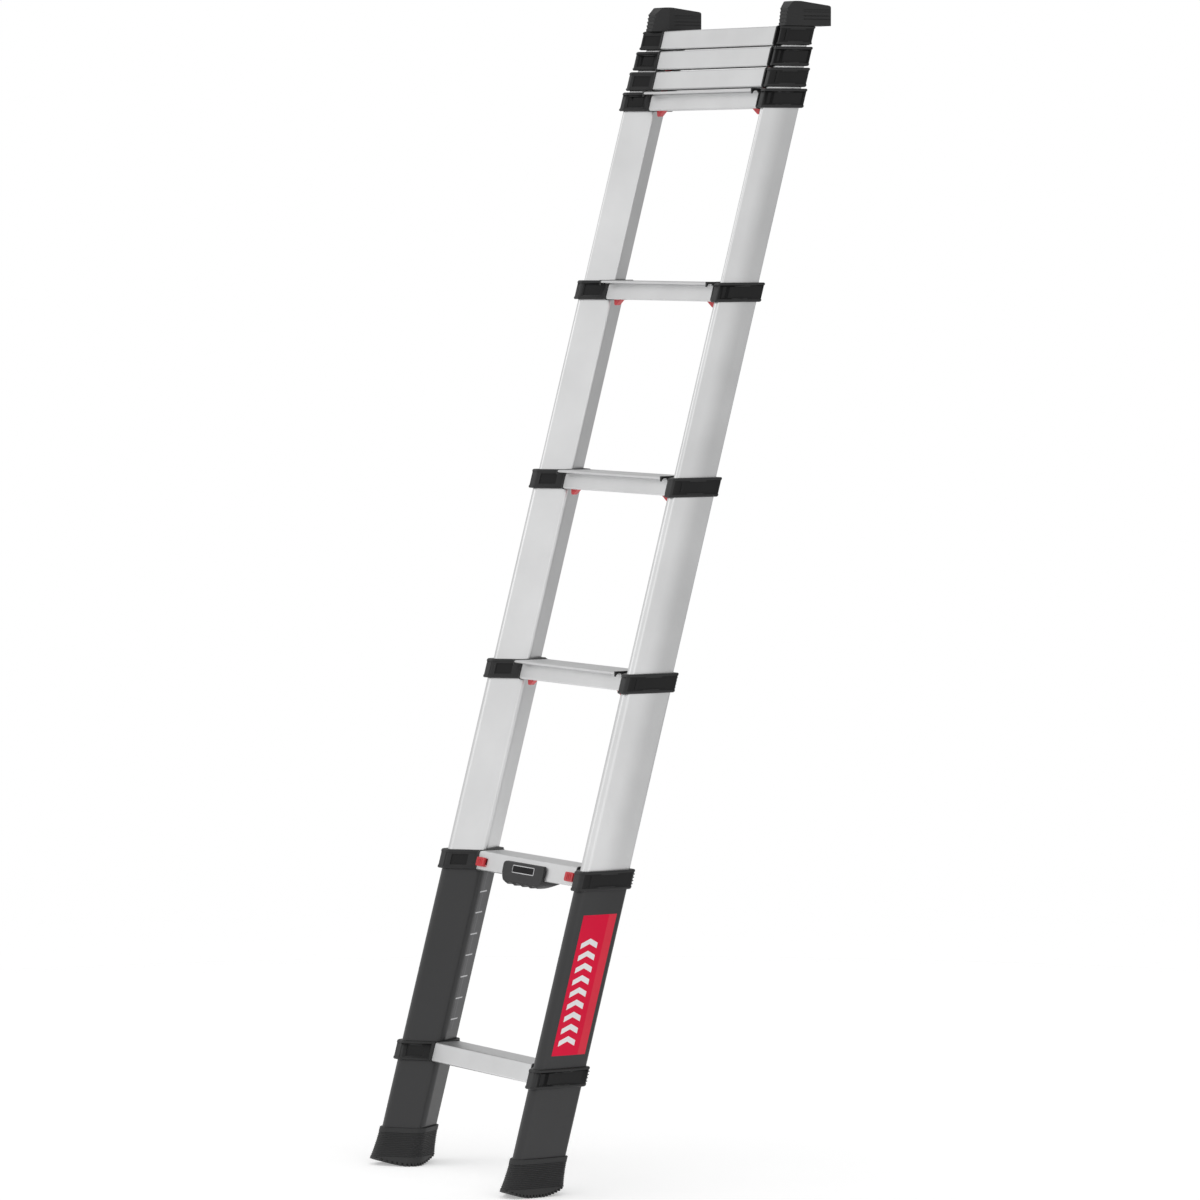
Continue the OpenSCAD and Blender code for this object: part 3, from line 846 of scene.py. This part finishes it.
rib_sockets = {item.name: item.identifier
               for item in rib_tree.interface.items_tree if item.in_out == "INPUT"}

rib_count = 4
rib_radius = 0.0009
rib_length = 0.011
rib_step = 0.0048
lowest_rib = 0.0073
rib_inboard = 0.0125
for number in rung_numbers:
    grip = nest_step * (section_of(number) - 1) - collar_proud
    for side, mirror in (("left", -1), ("right", 1)):
        behind = (rail_depth / 2 - grip - body_step) / math.cos(lean)
        height = rung_top(number) - rung_height + lowest_rib
        first = soles[side] + Vector((mirror * (rail_width / 2 - grip - rib_inboard),
                                      behind + height * rise, height))
        ribs = bpy.data.objects.new(f"{side}_finger_ribs_{number}", bpy.data.meshes.new("ribs"))
        bpy.context.scene.collection.objects.link(ribs)
        repeat = ribs.modifiers.new("repeat", "NODES")
        repeat.node_group = rib_tree
        for socket, value in (
            ("First", first),
            ("Step", (0, rib_step * rise, rib_step)),
            ("Turn", (0, math.radians(90), 0)),
            ("Count", rib_count),
            ("Radius", rib_radius),
            ("Length", rib_length),
            ("Finish", collar_nylon),
        ):
            repeat[rib_sockets[socket]] = value
        finish_piece(settle(ribs), collar_nylon, body_of(number))

# ---------------------------------------------------------------- locks and buttons
# Red acetal triggers under the rungs and buttons in the front of rung 2, and turned steel
# bolts inside the rungs. Each is its node's own shape with the sharp edges rounded.
red_acetal = moulded("red_acetal", (0.50, 0.022, 0.030), 0.34, pit_depth=0.05, specular=0.5)
bolt_steel = anodised("bolt_steel", (0.5, 0.5, 0.51), 0.28, along_rung)
for number in range(3, section_count + 1):
    node = f"lock_triggers_{number}"
    triggers = reworked(node, f"red_triggers_{number}", width=0.0006)
    finish_piece(triggers, red_acetal, f"triggers_{number}", [node])
    for side in soles:
        node = f"{side}_lock_bolt_{number}"
        bolt = reworked(node, f"{side}_steel_bolt_{number}", width=0.0003)
        finish_piece(bolt, bolt_steel, f"{side}_bolt_{number}", [node])
for side in soles:
    button = reworked(f"{side}_release_button", f"{side}_red_button", width=0.0007)
    finish_piece(button, red_acetal, f"{side}_button", [f"{side}_release_button"])

# ---------------------------------------------------------------- rubber feet
# Moulded rubber boots pushed over the outermost rails. They are ribbed all round, flare
# to the floor, and end in a curved sole with grooves across it and a flat land in its middle.
foot_rubber = moulded("foot_rubber", (0.021, 0.021, 0.0215), 0.55,
                      grain_scale=1500.0, pit_depth=0.2)
boot_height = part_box("left_foot")[1].z
# How far the boot stands out from the rail at each height.
boot_flare = ((0, 0.0085), (0.012, 0.0074), (0.024, 0.0056), (0.037, 0.0043), (0.05, 0.0035),
              (0.06, 0.0034))
ribs_from, ribs_to = 0.013, boot_height - 0.008
rib_pitch = 0.0027
rib_depth = 0.0010
rocker_radius = 0.110
sole_dip = 0.0007
sole_land = 0.009
sole_reach = 0.06
sole_across = 0.07
sole_fineness = 0.00055
above_boot = 0.2
tooth_pitch = 0.0055
tooth_gap = 0.0026
tooth_depth = 0.0046


def between(table, at):
    """A value read from a table of pairs, straight from one to the next."""
    for (x0, y0), (x1, y1) in zip(table, table[1:]):
        if at <= x1:
            return y0 + (y1 - y0) * (at - x0) / (x1 - x0)
    return table[-1][1]


def boot(side):
    """Rubber boot of one side: ribbed rings up the rail, cut by the rocker of the sole."""
    levels = []
    height = 0.0
    while height < boot_height - 0.0001:
        in_rib = ribs_from <= height <= ribs_to
        wave = 0.5 - 0.5 * math.cos(2 * math.pi * (height - ribs_from) / rib_pitch)
        levels.append((height, rib_depth * wave if in_rib else 0.0))
        height += rib_pitch / 6 if in_rib else 0.001
    levels += [(boot_height - 0.0009, 0.0), (boot_height - 0.0003, 0.0003), (boot_height, 0.0009)]
    levels.sort()
    rings = []
    for height, sunk in levels:
        inset = sunk - between(boot_flare, height)
        skin = outline(rail_corners, rail_radii, inset, math.radians(9))
        rings.append([rail_point(side, p.x, p.y, height=height) for p, _ in skin])
    made = solid(f"{side}_boot", rings)
    profile = []
    y = -sole_reach
    while y < sole_reach:
        under = max(rocker_radius - sole_dip - math.sqrt(rocker_radius ** 2 - y ** 2), 0.0)
        in_groove = (abs(y) - sole_land) % tooth_pitch < tooth_gap
        profile.append((y, under + (tooth_depth if in_groove else 0.0)))
        y += sole_fineness
    profile += [(sole_reach, above_boot), (-sole_reach, above_boot)]
    rocker = solid("rocker", [[soles[side] + Vector((x, y, z)) for y, z in profile]
                              for x in (-sole_across, sole_across)])
    cut(made, [rocker], operation="INTERSECT")
    skin = outline(rail_corners, rail_radii, 0)
    socket = slanted("socket", side, skin, sole_depth, sole_depth + 0.08, level=False)
    return cut(made, [socket], sharp=40)


for side in soles:
    finish_piece(boot(side), foot_rubber, "root", [f"{side}_foot"])

# ---------------------------------------------------------------- wall pads
# Soft rubber caps on the top collars, which reach back to the wall and are stepped in
# front like a stack of thin plates. The steps are cut into the node's own shape.
pad_rubber = moulded("pad_rubber", (0.014, 0.014, 0.0145), 0.48,
                     grain_scale=1500.0, pit_depth=0.2)
pad_floor = rung_top(section_count + 1)
pad_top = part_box("left_wall_pad")[1].z
pad_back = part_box("left_wall_pad")[1].y
pad_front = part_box("left_wall_pad")[0].y
pad_spare = 0.001
step_count = 5
step_height = 0.0056
step_front = 0.0035
step_setback = 0.0011
# The nose of one step, from its top edge down: how far back, and how far below its top.
step_nose = ((0.0022, 0), (0.0020, 0.0009), (0.0002, 0.0015), (0, 0.0022))
for side in soles:
    pad = reworked(f"{side}_wall_pad", f"{side}_rubber_pad", width=0.0010)
    profile = [
        (pad_back + pad_spare, pad_floor - pad_spare), (pad_back + pad_spare, pad_top + pad_spare),
        (pad_front + 0.030, pad_top + pad_spare), (pad_front + 0.018, pad_top - 0.0005),
    ]
    for k in reversed(range(step_count)):
        y, z = pad_front + step_front + step_setback * k, pad_floor + step_height * k
        profile += [(y + behind, z + step_height - fall) for behind, fall in step_nose]
    profile += [(pad_front + step_front, pad_floor - pad_spare)]
    rings = [[Vector((x, y, z)) for y, z in profile] for x in (-0.3, 0.3)]
    cut(pad, [solid("steps", rings)], operation="INTERSECT")
    finish_piece(pad, pad_rubber, f"section_{section_count}", [f"{side}_wall_pad"])

# ---------------------------------------------------------------- carry handle
# A nylon grip under the middle of rung 2, with finger scallops below and its lower corners
# cut back in wide curves. A framed badge plate, left blank, is let into its face.
handle_nylon = moulded("handle_nylon", (0.016, 0.016, 0.0165), 0.45, specular=0.4)
grip = merged("carry_handle", "carry_grip")
grip_low, grip_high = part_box("carry_handle")
upper_corner = 0.006
lower_corner = 0.024
corner_steps = 12
boat = []
for middle_x, middle_z, radius, start in (
    (grip_high.x - upper_corner, grip_high.z - upper_corner, upper_corner, 0),
    (grip_low.x + upper_corner, grip_high.z - upper_corner, upper_corner, 90),
    (grip_low.x + lower_corner, grip_low.z + lower_corner, lower_corner, 180),
    (grip_high.x - lower_corner, grip_low.z + lower_corner, lower_corner, 270),
):
    for k in range(corner_steps + 1):
        bearing = math.radians(start + 90 / corner_steps * k)
        boat.append((middle_x + radius * math.cos(bearing), middle_z + radius * math.sin(bearing)))
hull = solid("hull", [[Vector((x, y, z)) for x, z in boat]
                      for y in (grip_low.y - 0.01, grip_high.y + 0.01)])
cut(grip, [hull], operation="INTERSECT")
eased(grip, width=0.0013, segments=3)
finish_piece(grip, handle_nylon, "root", ["carry_handle"])

rung_2_top = rung_top(2)
badge_left, badge_right = -0.032, 0.034
badge_top, badge_foot = 0.0025, 0.0145
badge_band = 0.0012
badge_bite, frame_proud, plate_proud = 0.0002, 0.0005, 0.0003
badge_chamfer = 0.0003
# The grip's face stands ahead of the rung, from just below its top to just below its foot.
ahead_at_top, ahead_at_foot = 0.005, 0.0055
fall_at_top, fall_past_foot = 0.0085, 0.006
plate_top = Vector((-rung_front - ahead_at_top - rise * 0.008, -fall_at_top))
plate_foot = Vector((-rung_front - ahead_at_foot - rise * rung_height, -rung_height - fall_past_foot))
down = (plate_foot - plate_top).normalized()
out = Vector((down.y, -down.x))


def on_plate(x, fall, proud):
    """A point on the front of the grip: across, down from its top edge, and out of its face."""
    place = plate_top + down * fall + out * proud
    return Vector((x, soles["right"].y + rung_2_top * rise + place.x, rung_2_top + place.y))


def rounded_plate(name, x0, x1, fall0, fall1, low, high, radius=0.002):
    """A thin plate with round corners on the front of the grip."""
    edge = []
    for cx, cf, start in ((x1 - radius, fall0 + radius, 0), (x1 - radius, fall1 - radius, 90),
                          (x0 + radius, fall1 - radius, 180), (x0 + radius, fall0 + radius, 270)):
        for k in range(7):
            turn = math.radians(start - 90 + 15 * k)
            edge.append((cx + radius * math.cos(turn), cf + radius * math.sin(turn)))
    middle = Vector(((x0 + x1) / 2, (fall0 + fall1) / 2))
    small = [(middle.x + (x - middle.x) * 0.985, middle.y + (f - middle.y) * 0.95) for x, f in edge]
    return solid(name, [[on_plate(x, f, low) for x, f in edge],
                        [on_plate(x, f, high - badge_chamfer) for x, f in edge],
                        [on_plate(x, f, high) for x, f in small]])


window = (badge_left + badge_band, badge_right - badge_band,
          badge_top + badge_band, badge_foot - badge_band)
badge_frame = rounded_plate("badge_frame", badge_left, badge_right, badge_top, badge_foot,
                            -badge_bite, frame_proud)
cut(badge_frame, [rounded_plate("window", *window, -0.001, 0.002, radius=0.0012)])
badge_plate = rounded_plate("badge_plate", *window, -badge_bite, plate_proud, radius=0.0012)
pale_print = moulded("pale_print", (0.55, 0.55, 0.56), 0.35, pit_depth=0.02)
badge_black = moulded("badge_black", (0.004, 0.004, 0.0042), 0.5, pit_depth=0.02, specular=0.15)
finish_piece(settle(badge_frame), pale_print, "root")
finish_piece(settle(badge_plate), badge_black, "root")
